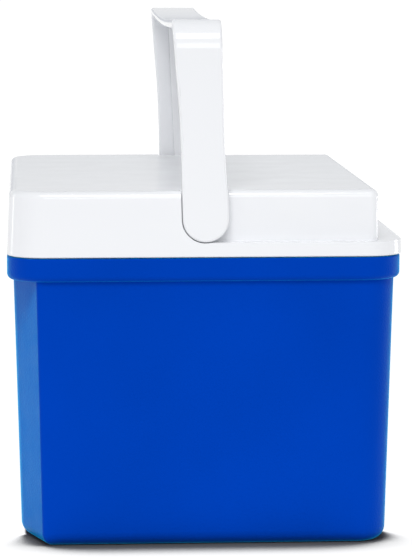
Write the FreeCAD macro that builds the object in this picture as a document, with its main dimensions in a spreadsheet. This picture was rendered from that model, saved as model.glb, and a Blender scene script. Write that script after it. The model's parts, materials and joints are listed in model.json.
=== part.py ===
import FreeCAD, Part
import Sketcher
import math
import os
import re

# Small hard-sided cooler chest with a swing handle on its lid.
# The frame is +Z up, -X the front, +X the hinged back, and the origin is under the middle of the base.

# Driving dimensions in millimetres and degrees: alias, value, meaning.
DIMENSIONS = [
    ("rim_width", 254.5, "front to back over the rim"),
    ("rim_length", 332.0, "end to end over the rim"),
    ("body_height", 188.0, "floor to the top of the rim"),
    ("band_height", 15.0, "height of the thick band round the mouth"),
    ("rim_overhang", 4.0, "how far the band stands out from the walls"),
    ("rim_corner", 25.0, "plan radius of the rim and lid corners"),
    ("rim_round", 4.0, "radius under the band"),
    ("edge_break", 1.0, "small rounding of edges a hand meets"),
    ("body_draft", 1.5, "mould draft of the body walls in degrees"),
    ("back_corner", 20.0, "plan radius of the two back corners"),
    ("front_corner", 3.0, "radius of the edge where an end meets its bevel"),
    ("bevel_width", 14.0, "front panel bevel, measured front to back"),
    ("bevel_length", 43.0, "front panel bevel, measured along the front"),
    ("bevel_blend", 30.0, "radius where a bevel meets the front panel"),
    ("base_round", 9.0, "radius round the foot of the body"),
    ("shell_wall", 2.5, "thickness of the outer shell"),
    ("shell_floor", 4.0, "thickness of the shell's floor"),
    ("base_recess", 1.5, "depth of the hollow under the base"),
    ("base_margin", 26.0, "width of the rim that the base stands on"),
    ("base_bridge", 12.0, "half the width of the bridge across the base"),
    ("recess_corner", 14.0, "plan radius of the hollows under the base"),
    ("mouth_inset", 24.0, "rim edge to the mouth of the liner"),
    ("liner_wall", 2.0, "thickness of the liner"),
    ("liner_floor", 20.0, "height of the food space's floor"),
    ("liner_corner", 22.0, "plan radius of the liner's corners"),
    ("liner_round", 12.0, "radius round the liner's floor"),
    ("flange", 3.0, "thickness of the liner's flange"),
    ("plug_radius", 9.0, "foam plug's flange"),
    ("plug_stem", 6.0, "foam plug's stem"),
    ("plug_flange", 1.2, "thickness of the foam plug's flange"),
    ("plug_spacing", 150.0, "distance between the two plugs in the base"),
    ("seam_gap", 0.6, "gap between the rim and the lid"),
    ("lid_top", 231.0, "floor to the top of the lid"),
    ("lid_overhang", 1.2, "how far the lid's back edge stands out past the rim"),
    ("lid_draft", 2.4, "draft of the lid's walls in degrees"),
    ("lid_round", 4.8, "radius round the top of the lid"),
    ("lid_wall", 2.5, "thickness of the lid shell"),
    ("band_room", 0.6, "extra wall round the lid's band"),
    ("block_room", 2.0, "extra wall at the front of the raised block"),
    ("end_room", 1.0, "extra wall at the lid's ends, which lean inward"),
    ("step_room", 1.5, "extra wall at the step in front of the handle's legs"),
    ("lift_half", 35.0, "half the length of the finger groove under the lid's front edge"),
    ("lift_radius", 5.0, "radius of the finger groove"),
    ("ledge_height", 197.9, "floor to the ledge that the folded handle lies on"),
    ("ledge_depth", 15.3, "ledge, from the back edge to the raised block"),
    ("block_corner", 5.0, "radius of the raised block's cut corners"),
    ("ledge_wall", 7.5, "thickness of the lid's lower back wall, which takes the hinge screws"),
    ("leg_recess", 9.6, "how deep each handle leg is let into the lid's end"),
    ("pan_thickness", 2.2, "thickness of the lid's inner pan"),
    ("pan_gap", 1.6, "clearance between the pan's skirt and the liner"),
    ("skirt_round", 3.0, "radius round the foot of the pan's skirt"),
    ("pan_depth", 9.0, "how far the pan's skirt reaches into the mouth"),
    ("pivot_height", 213.0, "floor to the handle's pivot"),
    ("eye_radius", 15.0, "radius of the round end of a leg"),
    ("eye_gap", 0.5, "gap round the leg in its recess"),
    ("recess_lean", 1.6, "lean of the front wall of a leg's recess in degrees"),
    ("flare_height", 18.0, "pivot to the middle of the sweep in the leg's back edge"),
    ("flare_back", 14.1, "pivot line to the back edge there"),
    ("flare_radius", 183.0, "radius of that sweep below its middle"),
    ("waist_height", 60.0, "pivot to the top of the sweep"),
    ("waist_back", 11.6, "pivot line to the back edge there"),
    ("waist_radius", 539.0, "radius of the sweep above its middle"),
    ("knee_height", 36.0, "pivot to where the leg's front edge starts to lean forward"),
    ("knee_front", 15.6, "pivot line to the front edge there"),
    ("knee_radius", 693.0, "radius of the front edge above the knee"),
    ("shoulder_height", 92.0, "pivot to where the front edge runs straight again"),
    ("shoulder_front", 18.8, "pivot line to the front edge there"),
    ("top_back", 10.2, "pivot line to the leg's back edge at the top"),
    ("top_front", 21.6, "pivot line to the leg's front edge at the top"),
    ("eye_boss", 12.0, "radius of the boss inside the round end of a leg"),
    ("boss_sink", 1.0, "outer face of the leg to the root of that boss"),
    ("handle_half", 165.6, "half the handle's length over its legs"),
    ("handle_top", 341.0, "floor to the top of the handle's corners"),
    ("handle_corner", 19.0, "outer radius of the handle's corners"),
    ("handle_skin", 5.0, "thickness of the handle's flat strap"),
    ("handle_deep", 9.0, "thickness of the strap with its stiffening rib"),
    ("rib_half", 3.5, "half the width of the stiffening rib"),
    ("handle_edge", 1.7, "rounding of the handle's outer edges"),
    ("strap_block", 40.0, "half the width of the block that the handle is cut from"),
    ("corner_thin", 1.0, "how much thinner the strap is round its corners"),
    ("grip_drop", 1.1, "top of the corners to the ends of the grip's dip"),
    ("grip_half", 153.0, "half the length of the grip's dip"),
    ("grip_dip", 3.0, "depth of the grip's dip"),
    ("pin_radius", 4.0, "radius of the handle's pivot pins"),
    ("pin_length", 16.0, "length of a pivot pin"),
    ("pin_room", 2.0, "clearance past the inner end of a pin"),
    ("pin_depth", 5.0, "how far a pin is pressed into the leg"),
    ("running_gap", 0.06, "radial clearance of pins that turn"),
    ("boss_radius", 8.0, "radius of the boss round each pivot bore"),
    ("boss_length", 6.0, "length of the pivot bore"),
    ("retainer_radius", 7.5, "radius of the push-on retainer"),
    ("retainer_thick", 1.6, "thickness of the push-on retainer"),
    ("retainer_gap", 0.4, "clearance between the retainer and its boss"),
    ("retainer_room", 1.5, "clearance round the retainer"),
    ("boss_root", 0.5, "how far a pivot boss is sunk into the recess wall"),
    ("hinge_offset", 3.2, "hinge axis behind the rim's back face"),
    ("hinge_spread", 58.0, "centre of the chest to the middle of a hinge"),
    ("hinge_half", 22.0, "half the length of a hinge"),
    ("knuckle_half", 9.0, "half the length of the middle knuckle"),
    ("knuckle_radius", 2.8, "outer radius of the knuckles"),
    ("leaf_notch", 0.5, "clearance between a leaf's plate and the other leaf's knuckles"),
    ("knuckle_gap", 0.4, "gap between neighbouring knuckles"),
    ("hinge_pin", 1.3, "radius of the hinge pins"),
    ("leaf_thick", 2.2, "thickness of a hinge leaf"),
    ("leaf_height", 8.2, "height of a hinge leaf from the axis"),
    ("leaf_seat", 0.6, "the rim's back face to the flat that the lid's leaf sits on"),
    ("seat_margin", 0.3, "flat beyond the top and ends of that leaf"),
    ("screw_offset", 5.6, "hinge axis to the screws"),
    ("screw_spread", 15.0, "middle of a hinge to its screws"),
    ("screw_radius", 1.5, "radius of the screw shanks"),
    ("screw_head", 2.1, "radius of the screw heads"),
    ("screw_dome", 0.8, "height of the screw heads"),
    ("screw_length", 5.5, "length of the screw shanks"),
    ("cut_past", 5.0, "how far a cutting shape runs past the surface it cuts"),
]

ALIASES = re.compile(r"\b(" + "|".join(alias for alias, value, meaning in DIMENSIONS) + r")\b")

# Lengths worked out from the driving ones, as expressions.
BODY_FALL = "((body_height - band_height) * tan(body_draft * 1deg))"
FOOT_X = f"(rim_width / 2 - rim_overhang - {BODY_FALL})"
FOOT_Y = f"(rim_length / 2 - rim_overhang - {BODY_FALL})"
CORE_SHIFT = "(shell_floor * tan(body_draft * 1deg) - shell_wall)"
LINER_FALL = "((body_height - liner_floor) * tan(body_draft * 1deg))"
MOUTH_X = "(rim_width / 2 - mouth_inset)"
MOUTH_Y = "(rim_length / 2 - mouth_inset)"
LID_BASE = "(body_height + seam_gap)"
BLOCK_BACK = "(rim_width / 2 - ledge_depth)"
RECESS_Y = "(rim_length / 2 - leg_recess)"
REACH = "(handle_top - pivot_height)"
EYE_FOOT = "(pivot_height - eye_radius)"
HINGE_X = "(rim_width / 2 + hinge_offset)"
HINGE_Z = "(body_height + seam_gap / 2)"

document = FreeCAD.newDocument("cooler_chest")
sizes = document.addObject("Spreadsheet::Sheet", "Sizes")
for row, (alias, value, meaning) in enumerate(DIMENSIONS, start=1):
    sizes.set(f"A{row}", meaning)
    sizes.set(f"B{row}", str(value))
    sizes.setAlias(f"B{row}", alias)
document.recompute()


def expression(text):
    """The text with each alias written as a reference to the sheet."""
    return ALIASES.sub(r"Sizes.\1", text)


def number(text):
    """The present value of an expression."""
    value = sizes.evalExpression(expression(text))
    return float(getattr(value, "Value", value))


def bind(item, values):
    """Bind each named property of an object to its expression."""
    for name, text in values.items():
        item.setExpression(name, expression(text))


# Sketches and PartDesign features

def new_body(name):
    return document.addObject("PartDesign::Body", name)


def new_sketch(body, role, offset):
    """A sketch parallel to one of the body's origin planes, offset along its normal."""
    plane = next(item for item in body.Origin.OriginFeatures if item.Role == role)
    sketch = body.newObject("Sketcher::SketchObject", body.Name + "_sketch")
    sketch.AttachmentSupport = [(plane, "")]
    sketch.MapMode = "FlatFace"
    bind(sketch, {"AttachmentOffset.Base.z": offset})
    return sketch


def constrain(sketch, constraint, text):
    index = sketch.addConstraint(constraint)
    bind(sketch, {f"Constraints[{index}]": text})


def pin_point(sketch, geometry, position, point):
    """Fix a sketch point at a pair of expressions, each measured from the origin."""
    for kind, axis, text in (("DistanceX", -2, point[0]), ("DistanceY", -1, point[1])):
        value = number(text)
        if abs(value) < 1e-9:
            sketch.addConstraint(Sketcher.Constraint("PointOnObject", geometry, position, axis))
        elif value > 0:
            constrain(sketch, Sketcher.Constraint(kind, -1, 1, geometry, position, value), text)
        else:
            constrain(sketch, Sketcher.Constraint(kind, geometry, position, -1, 1, -value), f"-({text})")


def arc_between(start, end, radius):
    """The short arc between two points and the order of its ends; a negative radius turns clockwise."""
    first, last = (start, end) if radius > 0 else (end, start)
    chord = last - first
    left = FreeCAD.Vector(-chord.y, chord.x, 0).normalize()
    centre = (first + last) / 2 + left * math.sqrt(radius ** 2 - (chord.Length / 2) ** 2)
    angles = [math.atan2(point.y - centre.y, point.x - centre.x) for point in (first, last)]
    if angles[1] < angles[0]:
        angles[1] += 2 * math.pi
    circle = Part.Circle(centre, FreeCAD.Vector(0, 0, 1), abs(radius))
    return Part.ArcOfCircle(circle, *angles), (1, 2) if radius > 0 else (2, 1)


def polygon(body, role, offset, points):
    """A closed outline of corners, each two expressions; a third is the radius of the side up to it."""
    sketch = new_sketch(body, role, offset)
    corners = [FreeCAD.Vector(number(point[0]), number(point[1]), 0) for point in points]
    ends = []
    for index, corner in enumerate(corners):
        if len(points[index]) == 3:
            side, side_ends = arc_between(corners[index - 1], corner, number(points[index][2]))
        else:
            side, side_ends = Part.LineSegment(corners[index - 1], corner), (1, 2)
        sketch.addGeometry(side, False)
        ends.append(side_ends)
    for index, point in enumerate(points):
        following = (index + 1) % len(points)
        joint = (index, ends[index][1], following, ends[following][0])
        sketch.addConstraint(Sketcher.Constraint("Coincident", *joint))
        pin_point(sketch, index, ends[index][1], point)
        if len(point) == 3:
            size = point[2].lstrip("-")
            constrain(sketch, Sketcher.Constraint("Radius", index, number(size)), size)
    return sketch


def circles(body, role, offset, centres, radius):
    """Equal circles at pairs of expressions."""
    sketch = new_sketch(body, role, offset)
    for index, (x, y) in enumerate(centres):
        centre = FreeCAD.Vector(number(x), number(y), 0)
        sketch.addGeometry(Part.Circle(centre, FreeCAD.Vector(0, 0, 1), number(radius)), False)
        pin_point(sketch, index, 3, (x, y))
        constrain(sketch, Sketcher.Constraint("Radius", index, number(radius)), radius)
    return sketch


def rectangle(left, right, low, high):
    """Corner points of a rectangle between four expressions."""
    return [(left, low), (right, low), (right, high), (left, high)]


def centred(half_x, half_y):
    return rectangle(f"-{half_x}", half_x, f"-{half_y}", half_y)


def extrude(kind, body, sketch, length, taper="0", reverse=False):
    feature = body.newObject(f"PartDesign::{kind}", f"{body.Name}_{kind.lower()}")
    feature.Profile = sketch
    feature.Reversed = reverse
    bind(feature, {"Length": length, "TaperAngle": taper})
    document.recompute()
    return feature


def pad(body, sketch, length, taper="0", reverse=False):
    return extrude("Pad", body, sketch, length, taper, reverse)


def pocket(body, sketch, length, reverse=False):
    before = body.Tip.Shape.Volume
    feature = extrude("Pocket", body, sketch, length, "0", reverse)
    if feature.Shape.Volume > before - 1.0:
        raise RuntimeError(f"{feature.Name} removes nothing")
    return feature


def round_edges(body, radius, wanted):
    """Fillet those edges of the body's tip that the wanted test accepts."""
    tip = body.Tip
    names = [f"Edge{index}" for index, edge in enumerate(tip.Shape.Edges, start=1) if wanted(edge)]
    fillet = body.newObject("PartDesign::Fillet", body.Name + "_fillet")
    fillet.Base = (tip, names)
    bind(fillet, {"Radius": radius})
    document.recompute()
    return fillet


# Edge tests

def middle(edge):
    return edge.valueAt((edge.FirstParameter + edge.LastParameter) / 2)


def upright(edge):
    """True of an edge that climbs steeply."""
    ends = [vertex.Point for vertex in edge.Vertexes]
    if len(ends) < 2:
        return False
    span = ends[1] - ends[0]
    return span.Length > 3.0 and abs(span.z) > 0.9 * span.Length


def level_at(edge, height):
    """True of an edge that lies at one height."""
    heights = [vertex.Z for vertex in edge.Vertexes] + [middle(edge).z]
    return all(abs(each - height) < 0.01 for each in heights)


# Part primitives and booleans

def box(name, low, high):
    """A box between two corners, each three expressions."""
    item = document.addObject("Part::Box", name)
    for axis, size_name, start, end in zip("xyz", ("Length", "Width", "Height"), low, high):
        bind(item, {f"Placement.Base.{axis}": start, size_name: f"({end}) - ({start})"})
    return item


TURNS = {
    "x": FreeCAD.Rotation(FreeCAD.Vector(0, 1, 0), 90),
    "y": FreeCAD.Rotation(FreeCAD.Vector(1, 0, 0), -90),
    "z": FreeCAD.Rotation(),
}


def rod(name, direction, start, length, radius):
    """A cylinder from a start point, three expressions, along +x, +y or +z."""
    item = document.addObject("Part::Cylinder", name)
    item.Placement = FreeCAD.Placement(FreeCAD.Vector(), TURNS[direction])
    for axis, text in zip("xyz", start):
        bind(item, {f"Placement.Base.{axis}": text})
    bind(item, {"Height": length, "Radius": radius})
    return item


def cut(name, base, tool):
    item = document.addObject("Part::Cut", name)
    item.Base = base
    item.Tool = tool
    return item


def common(name, base, tool):
    item = document.addObject("Part::Common", name)
    item.Base = base
    item.Tool = tool
    return item


def fuse(name, pieces):
    item = document.addObject("Part::MultiFuse", name)
    item.Shapes = pieces
    return item


def soften(name, base, radius, wanted):
    """A Part fillet of those edges of a finished solid that the wanted test accepts."""
    document.recompute()
    size = number(radius)
    item = document.addObject("Part::Fillet", name)
    item.Base = base
    item.Edges = [(index, size, size) for index, edge in enumerate(base.Shape.Edges, start=1) if wanted(edge)]
    return item


def group(name, pieces):
    """Separate solids that share one node."""
    item = document.addObject("Part::Compound", name)
    item.Links = pieces
    return item


def rounded_block(name, half_x, half_y, bottom, height, corner, taper="0", foot=None):
    """A block about the Z axis with rounded upright edges and, where given, a rounded foot."""
    body = new_body(name)
    pad(body, polygon(body, "XY_Plane", bottom, centred(half_x, half_y)), height, taper)
    round_edges(body, corner, upright)
    if foot:
        base = number(bottom)
        round_edges(body, foot, lambda edge: level_at(edge, base))
    return body


ENDS = (("near", "-1"), ("far", "1"))


# The chest's body

def body_outline(shift):
    """Plan of the body: straight back and ends, and a front panel between two bevels."""
    back = f"({FOOT_X} + {shift})"
    end = f"({FOOT_Y} + {shift})"
    front = f"(-{back})"
    bevel = f"({front} + bevel_width)"
    panel = f"({end} - bevel_length)"
    return [(back, f"-{end}"), (back, end), (bevel, end), (front, panel), (front, f"-{panel}"),
            (bevel, f"-{end}")]


def body_block(name, bottom, height, shift, back, foot):
    """The body's drafted form, with the radii of its back corners and of its foot."""
    body = new_body(name)
    pad(body, polygon(body, "XY_Plane", bottom, body_outline(shift)), height, "body_draft")
    round_edges(body, back, lambda edge: upright(edge) and middle(edge).x > 0)
    round_edges(body, "bevel_blend",
                lambda edge: upright(edge) and middle(edge).x < 0 and not at_bevel_end(edge))
    base = number(bottom)
    round_edges(body, foot, lambda edge: level_at(edge, base))
    return body


def at_bevel_end(edge):
    """True of an edge near the corner where an end of the body meets its bevel."""
    return middle(edge).x < 0 and abs(middle(edge).y) > number(f"{FOOT_Y} - bevel_length / 2")


def hinge_screws(name, face, height):
    """Four screws, two to a hinge, driven in from behind the chest."""
    screws = []
    for end, side in ENDS:
        for place in ("-1", "1"):
            where = f"({side} * hinge_spread + ({place}) * screw_spread)"
            shank = rod(f"{name}_shank", "x", (f"({face}) - screw_length", where, height),
                        "screw_length", "screw_radius")
            head = rod(f"{name}_head", "x", (face, where, height), "screw_dome", "screw_head")
            screws.append(fuse(f"{name}_{end}", [shank, head]))
    return group(name, screws)


def make_screws():
    """The screws that hold the hinge leaves to the rim and to the lid."""
    body_screws = hinge_screws("body_hinge_screws", "rim_width / 2 + leaf_thick",
                               f"{HINGE_Z} - screw_offset")
    lid_screws = hinge_screws("lid_hinge_screws", "rim_width / 2 - leaf_seat + leaf_thick",
                              f"{HINGE_Z} + screw_offset")
    return body_screws, lid_screws


def rim_form():
    """The thick band round the mouth, before the shell's walls are cut out of it."""
    body = new_body("rim_form")
    outline = centred("(rim_width / 2)", "(rim_length / 2)")
    pad(body, polygon(body, "XY_Plane", "body_height - band_height", outline), "band_height")
    round_edges(body, "rim_corner", upright)
    under = number("body_height - band_height")
    round_edges(body, "rim_round", lambda edge: level_at(edge, under))
    top = number("body_height")
    round_edges(body, "edge_break", lambda edge: level_at(edge, top))
    return body


def hollow_base(block):
    """Two shallow hollows under the base, and the holes that the foam plugs close."""
    inner_x = f"({FOOT_X} - base_margin)"
    inner_y = f"({FOOT_Y} - base_margin)"
    for low, high in (("base_bridge", inner_y), (f"-{inner_y}", "-base_bridge")):
        hollow = polygon(block, "XY_Plane", "0", rectangle(f"-{inner_x}", inner_x, low, high))
        pocket(block, hollow, "base_recess", reverse=True)
    recess_x = number(inner_x)
    round_edges(block, "recess_corner",
                lambda edge: edge.Length < 2 and abs(abs(middle(edge).x) - recess_x) < 0.1
                and middle(edge).z < 2)
    places = [("0", "plug_spacing / 2"), ("0", "-plug_spacing / 2")]
    holes = circles(block, "XY_Plane", "0", places, "plug_stem")
    pocket(block, holes, "shell_floor", reverse=True)


def make_chest(screws):
    """Outer shell and its rim, the liner, foam between them and the plugs in the base."""
    block = body_block("shell_block", "0", "body_height", "0", "back_corner", "base_round")
    round_edges(block, "front_corner", lambda edge: upright(edge) and at_bevel_end(edge))
    cut("rim_band", cut("rim_ring", rim_form(), block), screws)
    hollow_base(block)

    core = body_block("shell_core", "shell_floor", "body_height - shell_floor", CORE_SHIFT,
                      "back_corner - shell_wall", "base_round - shell_wall")
    cut("outer_shell", block, core)

    tub_height = "body_height - liner_floor"
    tub_inside = rounded_block("tub_inside", f"({MOUTH_X} - {LINER_FALL})", f"({MOUTH_Y} - {LINER_FALL})",
                               "liner_floor", tub_height, "liner_corner", "body_draft", "liner_round")
    tub_outside = rounded_block("tub_outside", f"({MOUTH_X} - {LINER_FALL} + liner_wall)",
                                f"({MOUTH_Y} - {LINER_FALL} + liner_wall)", "liner_floor - liner_wall",
                                f"{tub_height} + liner_wall", "liner_corner + liner_wall", "body_draft",
                                "liner_round + liner_wall")
    slab = box("flange_slab", ("-rim_width", "-rim_length", "body_height - flange"),
               ("rim_width", "rim_length", "body_height"))
    liner_flange = common("liner_flange", core, slab)
    liner_solid = fuse("liner_solid", [liner_flange, tub_outside])
    cut("inner_liner", liner_solid, tub_inside)

    foam_block = cut("foam_block", core, slab)
    cut("body_insulation", foam_block, tub_outside)

    plugs = []
    for end, side in ENDS:
        place = f"{side} * plug_spacing / 2"
        face = "base_recess - plug_flange"
        flange = rod("plug_flange_disc", "z", ("0", place, face), "plug_flange", "plug_radius")
        stem = rod("plug_stem_rod", "z", ("0", place, "base_recess"), "shell_floor - base_recess",
                   "plug_stem")
        plugs.append(fuse(f"base_plug_{end}", [flange, stem]))
    group("base_foam_plugs", plugs)


# The lid

def recess_edge(height):
    """Where the front wall of a leg's recess is at a height; it leans to the front as it climbs."""
    return f"(-eye_radius - eye_gap - ({height} - pivot_height) * tan(recess_lean * 1deg))"


def lid_form():
    """The lid's outside: drafted block, ledge at the back and a recess for each leg."""
    body = new_body("lid_form")
    outline = rectangle("-rim_width / 2", "rim_width / 2 + lid_overhang", "-rim_length / 2", "rim_length / 2")
    pad(body, polygon(body, "XY_Plane", LID_BASE, outline), f"lid_top - {LID_BASE}", "-lid_draft")
    round_edges(body, "rim_corner", upright)
    foot = number(LID_BASE)
    round_edges(body, "edge_break", lambda edge: level_at(edge, foot))
    above = "lid_top + cut_past"
    behind = "rim_width / 2 + cut_past"
    ledge = polygon(body, "XZ_Plane", "rim_length / 2 + cut_past",
                    rectangle(BLOCK_BACK, behind, "ledge_height", above))
    pocket(body, ledge, "rim_length + 2 * cut_past")
    recess = [(recess_edge(above), above), (recess_edge("pivot_height"), "pivot_height"),
              ("0", "pivot_height"), ("0", "ledge_height"), (behind, "ledge_height"), (behind, above)]
    eye = [("0", "pivot_height")]
    for plane_offset, reverse in (("rim_length / 2", False), ("-rim_length / 2", True)):
        pocket(body, polygon(body, "XZ_Plane", plane_offset, recess), "leg_recess", reverse)
        seat = circles(body, "XZ_Plane", plane_offset, eye, "eye_radius + eye_gap")
        pocket(body, seat, "leg_recess", reverse)
    corner_x = number(BLOCK_BACK)
    round_edges(body, "block_corner", lambda edge: upright(edge) and abs(middle(edge).x - corner_x) < 0.1)
    top = number("lid_top")
    step_x = number(recess_edge("lid_top"))
    round_edges(body, "lid_round", lambda edge: level_at(edge, top) and abs(middle(edge).x - step_x) > 2)
    return body


def lid_hollow():
    """The space inside the lid shell, before the pivot bosses."""
    wall = "lid_wall"
    band_top = f"ledge_height - {wall}"
    block_top = f"lid_top - {wall}"
    inner_y = f"(rim_length / 2 - {wall} - end_room)"
    step_x = f"(-eye_radius - {wall} - step_room)"
    low = box("hollow_low", (f"-rim_width / 2 + {wall} + band_room", f"-{inner_y}", LID_BASE),
              ("rim_width / 2 - ledge_wall", inner_y, band_top))
    front = box("hollow_front", (f"-rim_width / 2 + {wall} + block_room", f"-{inner_y} + end_room", LID_BASE),
                (step_x, f"{inner_y} - end_room", block_top))
    recess_y = f"({RECESS_Y} - {wall})"
    rear = box("hollow_rear", (f"{step_x} - step_room", f"-{recess_y}", LID_BASE),
               (f"{BLOCK_BACK} - {wall}", recess_y, block_top))
    eyes = [rod(f"hollow_eye_{end}", "y", ("0", start, "pivot_height"), f"leg_recess + {wall} + end_room",
                f"eye_radius + eye_gap + {wall}")
            for end, start in (("near", "-rim_length / 2 - end_room"), ("far", recess_y))]
    space = fuse("hollow_space", [low, front, rear])
    return cut("hollow_clear", space, fuse("hollow_eyes", eyes))


def corner_trim():
    """Keeps the lid's hollow inside its rounded corners."""
    half_x = "(rim_width / 2 - lid_wall)"
    half_y = "(rim_length / 2 - lid_wall)"
    return rounded_block("corner_trim", half_x, half_y, LID_BASE, f"lid_top - {LID_BASE}",
                         "rim_corner - lid_wall", "-lid_draft")


def pivot_tools():
    """For each end of the lid: the boss round the pivot, its bore, and the room for the pin's retainer."""
    bosses = []
    bores = []
    sockets = []
    inner = f"({RECESS_Y} - boss_length)"
    depth = "pin_length - pin_depth - boss_length + pin_room"
    for end, side in ENDS:
        near = end == "near"
        boss_start = f"-{RECESS_Y} + boss_root" if near else inner
        bosses.append(rod(f"boss_{end}", "y", ("0", boss_start, "pivot_height"), "boss_length - boss_root",
                          "boss_radius"))
        bore_start = f"-{RECESS_Y} - end_room" if near else f"{inner} - end_room"
        bores.append(rod(f"bore_{end}", "y", ("0", bore_start, "pivot_height"), "boss_length + 2 * end_room",
                         "pin_radius + running_gap"))
        socket_start = f"-{inner}" if near else f"{inner} - ({depth})"
        sockets.append(rod(f"socket_{end}", "y", ("0", socket_start, "pivot_height"), depth,
                           "retainer_radius + retainer_room"))
    return fuse("pivot_bosses", bosses), fuse("pivot_bores", bores), fuse("pin_sockets", sockets)


def leaf_seats():
    """The flats in the lid's back edge that the hinge leaves sit on."""
    seats = []
    for end, side in ENDS:
        middle_y = f"{side} * hinge_spread"
        seats.append(box(f"leaf_seat_{end}",
                         ("rim_width / 2 - leaf_seat", f"{middle_y} - hinge_half - seat_margin", LID_BASE),
                         ("rim_width / 2 + cut_past", f"{middle_y} + hinge_half + seat_margin",
                          f"{HINGE_Z} + leaf_height + seat_margin")))
    return fuse("leaf_seats", seats)


def make_lid_shell(form, space, bores, screws):
    """The lid's outer moulding, with its finger groove, pivot bores, hinge seats and screw holes."""
    groove = rod("finger_groove", "y", ("-rim_width / 2 - end_room", "-lift_half", LID_BASE), "2 * lift_half",
                 "lift_radius")
    shell = cut("lid_hollowed", cut("lid_grooved", form, groove), space)
    seated = cut("lid_seated", cut("lid_bored", shell, bores), leaf_seats())
    cut("lid_shell", seated, screws)


def make_lid(screws):
    """Lid shell, its inner pan with a skirt, the foam inside and the plug in the pan."""
    bosses, bores, sockets = pivot_tools()
    space = cut("lid_space_bossed", common("lid_space", lid_hollow(), corner_trim()), bosses)
    make_lid_shell(lid_form(), space, bores, screws)

    pan_slab = box("pan_slab", ("-rim_width", "-rim_length", LID_BASE),
                   ("rim_width", "rim_length", f"{LID_BASE} + pan_thickness"))
    plate = common("pan_plate", space, pan_slab)
    skirt_x = f"({MOUTH_X} - pan_gap)"
    skirt_y = f"({MOUTH_Y} - pan_gap)"
    under = "(body_height - pan_depth)"
    skirt = rounded_block("pan_skirt", skirt_x, skirt_y, under, "pan_depth + seam_gap + pan_thickness",
                          "liner_corner - pan_gap", "0", "skirt_round")
    inside = rounded_block("pan_inside", f"({skirt_x} - pan_thickness)", f"({skirt_y} - pan_thickness)",
                           f"{under} + pan_thickness", "pan_depth + seam_gap",
                           "liner_corner - pan_gap - pan_thickness", "0", "skirt_round / 2")
    pan_hole = rod("pan_hole", "z", ("0", "0", f"{under} - end_room"), "pan_thickness + end_room",
                   "plug_stem")
    cut("lid_pan", cut("pan_solid", fuse("pan_outside", [plate, skirt]), inside), pan_hole)

    foam = fuse("lid_foam_whole", [cut("lid_foam_top", space, pan_slab), inside])
    cut("lid_insulation", foam, sockets)

    disc = rod("lid_plug_disc", "z", ("0", "0", f"{under} - plug_flange"), "plug_flange", "plug_radius")
    stem = rod("lid_plug_stem", "z", ("0", "0", under), "pan_thickness", "plug_stem")
    fuse("lid_foam_plug", [disc, stem])


# The handle

def frame_block(name, half_y, low, high, half_x, corner):
    """A block about the YZ plane whose two top corners are rounded."""
    body = new_body(name)
    corners = rectangle(f"-{half_y}", half_y, low, high)
    pad(body, polygon(body, "YZ_Plane", f"-{half_x}", corners), f"2 * {half_x}")
    top = number(high)
    round_edges(body, corner,
                lambda edge: level_at(edge, top) and abs(edge.Vertexes[0].X - edge.Vertexes[1].X) > 1)
    return body


def bail_profile(name, thickness):
    """The handle seen from the front: two legs and a grip with a shallow dip, of one thickness."""
    outer = frame_block(f"{name}_outer", "handle_half", f"({EYE_FOOT} - cut_past)", "handle_top",
                        "strap_block", "handle_corner")
    inner = frame_block(f"{name}_inner", f"(handle_half - {thickness})", f"({EYE_FOOT} - 2 * cut_past)",
                        f"(handle_top - {thickness} + corner_thin)", "(strap_block + cut_past)",
                        f"handle_corner - {thickness}")
    bend = "(grip_half ^ 2 / (2 * grip_dip) + grip_dip / 2)"
    centre = f"handle_top - grip_drop - grip_dip + {bend}"
    start = ("-strap_block - 2 * cut_past", "0", centre)
    length = "2 * strap_block + 4 * cut_past"
    dip = rod(f"{name}_dip", "x", start, length, bend)
    under_dip = rod(f"{name}_under_dip", "x", start, length, f"{bend} + {thickness}")
    opening = cut(f"{name}_opening", inner, under_dip)
    return cut(f"{name}_bail", cut(f"{name}_dipped", outer, dip), opening)


# Outlines of a leg and of its rib: distance from the pivot line, height above the pivot, radius of the side.
LEG_OUTLINE = [
    ("0", "-eye_radius", "eye_radius"), ("eye_radius", "0", "eye_radius"),
    ("flare_back", "flare_height", "flare_radius"), ("waist_back", "waist_height", "-waist_radius"),
    ("top_back", REACH), ("-top_front", REACH), ("-shoulder_front", "shoulder_height"),
    ("-knee_front", "knee_height", "-knee_radius"), ("-eye_radius", "0"),
]
RIB_TOP = "((top_back - top_front) / 2)"
RIB_OUTLINE = [("rib_half", "0"), (f"{RIB_TOP} + rib_half", REACH), (f"{RIB_TOP} - rib_half", REACH),
               ("-rib_half", "0")]


def side_profile(name, outline):
    """The handle seen along its grip, as a slab through its whole length."""
    body = new_body(name)
    points = [(x, f"pivot_height + {height}", *radius) for x, height, *radius in outline]
    pad(body, polygon(body, "XZ_Plane", "handle_half", points), "2 * handle_half", reverse=True)
    return body


def runs_along_strap(edge):
    """True of the strap's long edges, false of those across it."""
    ends = [vertex.Point for vertex in edge.Vertexes]
    return abs(ends[0].x - ends[1].x) < 10 and (ends[0] - ends[1]).Length > 8


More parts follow.
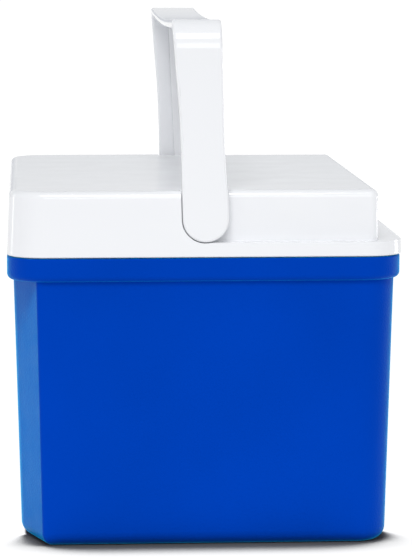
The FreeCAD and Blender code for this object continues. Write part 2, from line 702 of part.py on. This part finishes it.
def make_handle():
    """The swing handle, its two pivot pins and their retainers."""
    sharp_strap = common("sharp_strap", side_profile("strap_side", LEG_OUTLINE),
                         bail_profile("strap", "handle_skin"))
    strap = soften("handle_strap", sharp_strap, "handle_edge", runs_along_strap)
    rib = common("handle_rib", side_profile("rib_side", RIB_OUTLINE), bail_profile("rib", "handle_deep"))
    eyes = []
    holes = []
    hole_inner = "(handle_half - handle_deep)"
    for end, side in ENDS:
        boss_start = "-handle_half + boss_sink" if end == "near" else hole_inner
        eyes.append(rod(f"eye_boss_{end}", "y", ("0", boss_start, "pivot_height"),
                        "handle_deep - boss_sink", "eye_boss"))
        hole_start = f"-{hole_inner} - pin_depth" if end == "near" else hole_inner
        holes.append(rod(f"eye_hole_{end}", "y", ("0", hole_start, "pivot_height"), "pin_depth",
                         "pin_radius"))
    whole = fuse("handle_whole", [strap, rib] + eyes)
    cut("handle_bail", whole, fuse("eye_holes", holes))
    for end, side in ENDS:
        tip = f"({hole_inner} + pin_depth - pin_length)"
        pin_start = f"-{hole_inner} - pin_depth" if end == "near" else tip
        pin = rod(f"pivot_pin_{end}", "y", ("0", pin_start, "pivot_height"), "pin_length", "pin_radius")
        inner_face = f"({RECESS_Y} - boss_length - retainer_gap)"
        start = f"-{inner_face}" if end == "near" else f"{inner_face} - retainer_thick"
        disc = rod(f"retainer_disc_{end}", "y", ("0", start, "pivot_height"), "retainer_thick",
                   "retainer_radius")
        cut(f"pin_retainer_{end}", disc, pin)


# The hinges

def knuckle(name, centre, first, last):
    """One knuckle between two distances from the middle of its hinge."""
    start = f"{centre} + ({first})"
    return rod(name, "y", (HINGE_X, start, HINGE_Z), f"({last}) - ({first})", "knuckle_radius")


def hinge_leaf(name, side, upward, screws):
    """A leaf of a hinge: the body's has the two outer knuckles, the lid's the middle one."""
    centre = f"{side} * hinge_spread"
    notch = "(knuckle_radius + leaf_notch)"
    if upward:
        back = "rim_width / 2 - leaf_seat"
        plate_low, plate_high = f"{HINGE_Z} + {notch}", f"{HINGE_Z} + leaf_height"
        tongues = [("-knuckle_half", "knuckle_half")]
    else:
        back = "rim_width / 2"
        plate_low, plate_high = f"{HINGE_Z} - leaf_height", f"{HINGE_Z} - {notch}"
        tongues = [("-hinge_half", "-knuckle_half - knuckle_gap"),
                   ("knuckle_half + knuckle_gap", "hinge_half")]
    front = f"{back} + leaf_thick"
    pieces = [box(f"{name}_plate", (back, f"{centre} - hinge_half", plate_low),
                  (front, f"{centre} + hinge_half", plate_high))]
    web_low = HINGE_Z if upward else plate_low
    web_high = plate_high if upward else HINGE_Z
    for first, last in tongues:
        pieces.append(box(f"{name}_web", (back, f"{centre} + ({first})", web_low),
                          (front, f"{centre} + ({last})", web_high)))
        pieces.append(knuckle(f"{name}_knuckle", centre, first, last))
    bore_radius = "hinge_pin + running_gap" if upward else "hinge_pin"
    bore = rod(f"{name}_bore", "y", (HINGE_X, f"{centre} - hinge_half - cut_past", HINGE_Z),
               "2 * hinge_half + 2 * cut_past", bore_radius)
    solid = cut(f"{name}_bored", fuse(f"{name}_solid", pieces), bore)
    cut(name, solid, screws)


def make_hinges(body_screws, lid_screws):
    for end, side in ENDS:
        hinge_leaf(f"body_hinge_leaf_{end}", side, False, body_screws)
        hinge_leaf(f"lid_hinge_leaf_{end}", side, True, lid_screws)
        rod(f"hinge_pin_{end}", "y", (HINGE_X, f"{side} * hinge_spread - hinge_half", HINGE_Z),
            "2 * hinge_half", "hinge_pin")


NODES = [
    "outer_shell", "rim_band", "inner_liner", "body_insulation", "base_foam_plugs",
    "body_hinge_leaf_near", "body_hinge_leaf_far", "body_hinge_screws", "hinge_pin_near", "hinge_pin_far",
    "lid_shell", "lid_pan", "lid_insulation", "lid_foam_plug",
    "lid_hinge_leaf_near", "lid_hinge_leaf_far", "lid_hinge_screws",
    "handle_bail", "pivot_pin_near", "pivot_pin_far", "pin_retainer_near", "pin_retainer_far",
]


def check_and_export():
    document.recompute()
    for item in document.Objects:
        if "Invalid" in item.State or "Error" in item.State:
            raise RuntimeError(f"{item.Name} failed: {item.State}")
    os.makedirs("parts", exist_ok=True)
    for name in NODES:
        shape = document.getObject(name).Shape
        if shape.isNull() or not shape.isValid() or not shape.Solids:
            raise RuntimeError(f"{name} has no valid solid")
        shape.exportStep(f"parts/{name}.step")
        print(f"{name}: {len(shape.Solids)} solid(s), {shape.Volume / 1000:.1f} cm3")


body_screws, lid_screws = make_screws()
make_chest(body_screws)
make_lid(lid_screws)
make_handle()
make_hinges(body_screws, lid_screws)
check_and_export()
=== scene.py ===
import json
import math

import bpy
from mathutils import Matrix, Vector

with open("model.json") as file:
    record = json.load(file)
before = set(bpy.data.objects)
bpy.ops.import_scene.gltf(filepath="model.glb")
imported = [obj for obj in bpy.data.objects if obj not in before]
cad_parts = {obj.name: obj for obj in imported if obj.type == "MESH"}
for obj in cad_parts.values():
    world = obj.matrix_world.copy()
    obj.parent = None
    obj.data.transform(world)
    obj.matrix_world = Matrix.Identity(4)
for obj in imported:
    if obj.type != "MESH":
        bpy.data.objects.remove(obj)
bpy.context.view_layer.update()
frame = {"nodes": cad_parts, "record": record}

# The scene's own sizes, in metres unless a name says otherwise.
MILLIMETRE = 0.001
CAMERA_PLACE = Vector((-0.1152, -2.0804, 0.3947))
CAMERA_YAW = math.radians(3.45)      # turned to the right of +Y
CAMERA_PITCH = math.radians(6.56)    # tipped down
CAMERA_LENS_MM = 194.0
CAMERA_SENSOR_MM = 36.0
CAMERA_REACH = 100.0

FLOOR_HALF = 30.0
FLOOR_GLOW = 1.0
FLOOR_FRONT = 0.55                   # glow well in front of the chest, against 1 elsewhere
FLOOR_FADE = (-0.5, -0.22)           # Y from and to which that glow rises
SHADOW_NEAR = 0.055                  # reach of the contact shadow before the near end
SHADOW_BESIDE = 0.003                # and along the other sides
SHADOW_TURN = (-0.165, -0.115)       # Y over which the one reach becomes the other
SHADOW_CURVE = ((0.5, 0.0), (0.59, 0.03), (0.64, 0.2), (0.7, 0.52), (0.77, 0.79), (0.84, 0.93), (1.0, 1.0))

SKY = ((0.0, (0.5, 0.53, 0.6)), (0.1, (0.98, 0.99, 1.0)), (0.7, (0.48, 0.49, 0.5)))
SKY_FRONT = 0.6
SKY_BACK = 0.9
SKY_TURN = (-0.2, 0.9)               # Y of the direction over which front becomes back

LIGHT_TARGET = Vector((0.0, 0.0, 0.15))
# Name, place, width and height, power in watts.
LIGHTS = (
    ("key_box", (-0.6, -3.6, 4.25), (2.4, 1.8), 160.0),
    ("front_fill", (0.3, -5.2, 1.3), (3.2, 1.2), 34.0),
    ("left_strip", (-1.77, 0.94, 0.5), (0.12, 1.4), 3.0),
    ("right_strip", (1.6, 0.5, 0.16), (0.4, 0.28), 3.0),
)


# Materials: each is a small node tree in the object's own coordinates, so its grain keeps its real scale.

class Nodes:
    """A material's node tree, with short ways to add what the materials below share."""

    def __init__(self, name, roughness, specular=0.5):
        self.material = bpy.data.materials.new(name)
        self.material.use_nodes = True
        self.tree = self.material.node_tree
        self.shader = self.tree.nodes["Principled BSDF"]
        self.shader.inputs["Roughness"].default_value = roughness
        self.shader.inputs["Specular IOR Level"].default_value = specular
        self.place = self.tree.nodes.new("ShaderNodeTexCoord").outputs["Object"]

    def link(self, source, target):
        self.tree.links.new(source, target)

    def noise(self, size, detail=2.0, stretch=None):
        """Noise whose features are about the given size; stretch scales its axes."""
        node = self.tree.nodes.new("ShaderNodeTexNoise")
        node.inputs["Scale"].default_value = 1.0 / size
        node.inputs["Detail"].default_value = detail
        place = self.place
        if stretch:
            mapping = self.tree.nodes.new("ShaderNodeMapping")
            mapping.inputs["Scale"].default_value = stretch
            self.link(place, mapping.inputs["Vector"])
            place = mapping.outputs["Vector"]
        self.link(place, node.inputs["Vector"])
        return node.outputs["Fac"]

    def cells(self, size):
        """Distance to the middle of the nearest cell of about the given size."""
        node = self.tree.nodes.new("ShaderNodeTexVoronoi")
        node.inputs["Scale"].default_value = 1.0 / size
        self.link(self.place, node.inputs["Vector"])
        return node.outputs["Distance"]

    def between(self, value, low, high, start=0.3, stop=0.7):
        """Map the value's run from start to stop onto low to high."""
        node = self.tree.nodes.new("ShaderNodeMapRange")
        node.inputs["From Min"].default_value = start
        node.inputs["From Max"].default_value = stop
        node.inputs["To Min"].default_value = low
        node.inputs["To Max"].default_value = high
        self.link(value, node.inputs["Value"])
        return node.outputs["Result"]

    def ramp(self, value, stops):
        """A colour ramp through (position, colour) stops."""
        node = self.tree.nodes.new("ShaderNodeValToRGB")
        elements = node.color_ramp.elements
        while len(elements) < len(stops):
            elements.new(0.5)
        for element, (position, colour) in zip(elements, stops):
            element.position = position
            element.color = (*colour, 1.0)
        self.link(value, node.inputs["Fac"])
        return node.outputs["Color"]

    def bump(self, height, depth, before=None):
        """Relief of the given depth, added to an earlier bump where there is one."""
        node = self.tree.nodes.new("ShaderNodeBump")
        node.inputs["Distance"].default_value = depth
        self.link(height, node.inputs["Height"])
        if before:
            self.link(before, node.inputs["Normal"])
        return node.outputs["Normal"]

    def finish(self, colour, roughness=None, normal=None):
        self.link(colour, self.shader.inputs["Base Color"])
        if roughness:
            self.link(roughness, self.shader.inputs["Roughness"])
        if normal:
            self.link(normal, self.shader.inputs["Normal"])
        return self.material


def shade(colour, factor):
    return tuple(min(channel * factor, 1.0) for channel in colour)


def body_plastic(name, colour):
    """Blue moulded polyethylene with a fine pebble grain and a pale sheen where it turns away."""
    nodes = Nodes(name, 0.45, specular=0.04)
    nodes.shader.inputs["Specular Tint"].default_value = (0.05, 0.5, 1.0, 1.0)
    nodes.shader.inputs["Sheen Weight"].default_value = 1.0
    nodes.shader.inputs["Sheen Roughness"].default_value = 0.33
    nodes.shader.inputs["Sheen Tint"].default_value = (0.02, 0.6, 1.0, 1.0)
    cloud = nodes.noise(90 * MILLIMETRE, detail=3.0)
    tone = nodes.ramp(cloud, [(0.3, shade(colour, 0.95)), (0.7, shade(colour, 1.04))])
    pebble = nodes.bump(nodes.cells(1.3 * MILLIMETRE), 0.10 * MILLIMETRE)
    grain = nodes.bump(nodes.noise(0.5 * MILLIMETRE), 0.03 * MILLIMETRE, before=pebble)
    dull = nodes.between(nodes.noise(14 * MILLIMETRE, detail=4.0), 0.4, 0.5)
    return nodes.finish(tone, dull, grain)


def glossy_plastic(name, colour, roughness):
    """White moulded plastic: polished, with the faint waviness of a real moulding."""
    nodes = Nodes(name, roughness, specular=0.5)
    cloud = nodes.noise(120 * MILLIMETRE, detail=2.0)
    tone = nodes.ramp(cloud, [(0.3, shade(colour, 0.99)), (0.7, shade(colour, 1.005))])
    wave = nodes.bump(nodes.noise(60 * MILLIMETRE, detail=0.0), 0.008 * MILLIMETRE)
    dull = nodes.between(nodes.noise(30 * MILLIMETRE, detail=3.0), roughness * 0.92, roughness * 1.08)
    return nodes.finish(tone, dull, wave)


def satin_plastic(name, colour):
    """White nylon or liner plastic with a soft sheen."""
    nodes = Nodes(name, 0.35, specular=0.45)
    tone = nodes.ramp(nodes.noise(60 * MILLIMETRE), [(0.3, shade(colour, 0.97)), (0.7, shade(colour, 1.01))])
    grain = nodes.bump(nodes.noise(0.8 * MILLIMETRE), 0.02 * MILLIMETRE)
    dull = nodes.between(nodes.noise(7 * MILLIMETRE, detail=4.0), 0.3, 0.42)
    return nodes.finish(tone, dull, grain)


def stainless(name):
    """Turned stainless steel with fine streaks."""
    nodes = Nodes(name, 0.28)
    nodes.shader.inputs["Metallic"].default_value = 1.0
    streaks = nodes.noise(1.5 * MILLIMETRE, detail=3.0, stretch=(1.0, 12.0, 1.0))
    tone = nodes.ramp(streaks, [(0.3, (0.52, 0.52, 0.53)), (0.7, (0.68, 0.68, 0.69))])
    dull = nodes.between(streaks, 0.2, 0.36)
    return nodes.finish(tone, dull, nodes.bump(streaks, 0.01 * MILLIMETRE))


def foam(name):
    """Cut polyurethane foam: pale yellow with open cells."""
    nodes = Nodes(name, 0.85, specular=0.2)
    cells = nodes.cells(1.1 * MILLIMETRE)
    tone = nodes.ramp(cells, [(0.0, (0.58, 0.46, 0.24)), (0.6, (0.82, 0.72, 0.46))])
    return nodes.finish(tone, None, nodes.bump(cells, 0.4 * MILLIMETRE))


BLUE = (0.0, 0.046, 0.44)
WHITE = (0.86, 0.87, 0.895)

MATERIALS = {
    "body_blue": body_plastic("body_blue", BLUE),
    "plug_blue": body_plastic("plug_blue", shade(BLUE, 0.8)),
    "lid_white": glossy_plastic("lid_white", WHITE, 0.14),
    "handle_white": glossy_plastic("handle_white", WHITE, 0.13),
    "liner_white": satin_plastic("liner_white", (0.84, 0.85, 0.86)),
    "hinge_white": satin_plastic("hinge_white", (0.82, 0.83, 0.84)),
    "screw_steel": stainless("screw_steel"),
    "foam": foam("foam"),
}


def dress_nodes():
    """Give every CAD node the material of its slot in the record."""
    for part in frame["record"]["subparts"]:
        piece = frame["nodes"][part["node"]]
        piece.data.materials.clear()
        piece.data.materials.append(MATERIALS[part["material_slot"]])


# Stage

def floor_material():
    """White paper that glows evenly, and darkens only close under the chest, where a painted contact shadow
    dims its glow.
    """
    nodes = Nodes("studio_floor", 0.9, specular=0.0)
    tone = nodes.ramp(nodes.noise(0.5), [(0.3, (0.1, 0.1, 0.1)), (0.7, (0.12, 0.12, 0.12))])
    # Painted contact shadow: ambient occlusion darkens the floor's glow near the chest, reaching farther
    # before the near end.
    occlusion = nodes.tree.nodes.new("ShaderNodeAmbientOcclusion")
    split = nodes.tree.nodes.new("ShaderNodeSeparateXYZ")
    nodes.link(nodes.place, split.inputs["Vector"])
    reach = nodes.between(split.outputs["Y"], SHADOW_NEAR, SHADOW_BESIDE, *SHADOW_TURN)
    nodes.link(reach, occlusion.inputs["Distance"])
    greys = [(place, (level, level, level)) for place, level in SHADOW_CURVE]
    painted_shadow = nodes.ramp(occlusion.outputs["AO"], greys)
    front = nodes.between(split.outputs["Y"], FLOOR_FRONT, 1.0, *FLOOR_FADE)
    glow = nodes.tree.nodes.new("ShaderNodeVectorMath")
    glow.operation = "SCALE"
    nodes.link(painted_shadow, glow.inputs["Vector"])
    nodes.link(front, glow.inputs["Scale"])
    nodes.link(glow.outputs["Vector"], nodes.shader.inputs["Emission Color"])
    nodes.shader.inputs["Emission Strength"].default_value = FLOOR_GLOW
    return nodes.finish(tone)


def make_floor():
    mesh = bpy.data.meshes.new("studio_floor")
    corners = [(-FLOOR_HALF, -FLOOR_HALF, 0), (FLOOR_HALF, -FLOOR_HALF, 0),
               (FLOOR_HALF, FLOOR_HALF, 0), (-FLOOR_HALF, FLOOR_HALF, 0)]
    mesh.from_pydata(corners, [], [(0, 1, 2, 3)])
    mesh.materials.append(floor_material())
    floor = bpy.data.objects.new("studio_floor", mesh)
    bpy.context.scene.collection.objects.link(floor)


def make_world():
    """A pale room, brightest a little above the horizon behind the chest."""
    world = bpy.data.worlds.new("studio")
    world.use_nodes = True
    tree = world.node_tree
    background = tree.nodes["Background"]
    place = tree.nodes.new("ShaderNodeTexCoord")
    split = tree.nodes.new("ShaderNodeSeparateXYZ")
    tree.links.new(place.outputs["Generated"], split.inputs["Vector"])
    ramp = tree.nodes.new("ShaderNodeValToRGB")
    elements = ramp.color_ramp.elements
    elements.new(0.5)
    for element, (position, colour) in zip(elements, SKY):
        element.position = position
        element.color = (*colour, 1.0)
    tree.links.new(split.outputs["Z"], ramp.inputs["Fac"])
    tree.links.new(ramp.outputs["Color"], background.inputs["Color"])
    behind = tree.nodes.new("ShaderNodeMapRange")
    behind.inputs["From Min"].default_value = SKY_TURN[0]
    behind.inputs["From Max"].default_value = SKY_TURN[1]
    behind.inputs["To Min"].default_value = SKY_FRONT
    behind.inputs["To Max"].default_value = SKY_BACK
    tree.links.new(split.outputs["Y"], behind.inputs["Value"])
    tree.links.new(behind.outputs["Result"], background.inputs["Strength"])
    bpy.context.scene.world = world


def make_lights():
    """Rectangular lights that all face the middle of the chest."""
    for name, place, size, power in LIGHTS:
        light = bpy.data.lights.new(name, "AREA")
        light.shape = "RECTANGLE"
        light.size, light.size_y = size
        light.energy = power
        lamp = bpy.data.objects.new(name, light)
        lamp.location = place
        lamp.rotation_euler = (LIGHT_TARGET - Vector(place)).to_track_quat("-Z", "Y").to_euler()
        bpy.context.scene.collection.objects.link(lamp)


def make_camera():
    camera = bpy.data.cameras.new("camera")
    camera.lens = CAMERA_LENS_MM
    camera.sensor_width = CAMERA_SENSOR_MM
    camera.clip_end = CAMERA_REACH
    rig = bpy.data.objects.new("camera", camera)
    rig.location = CAMERA_PLACE
    forward = Vector((math.sin(CAMERA_YAW) * math.cos(CAMERA_PITCH),
                      math.cos(CAMERA_YAW) * math.cos(CAMERA_PITCH),
                      -math.sin(CAMERA_PITCH)))
    rig.rotation_euler = forward.to_track_quat("-Z", "Y").to_euler()
    bpy.context.scene.collection.objects.link(rig)
    bpy.context.scene.camera = rig


dress_nodes()
make_world()
make_floor()
make_lights()
make_camera()
bpy.context.scene.view_settings.view_transform = "Standard"
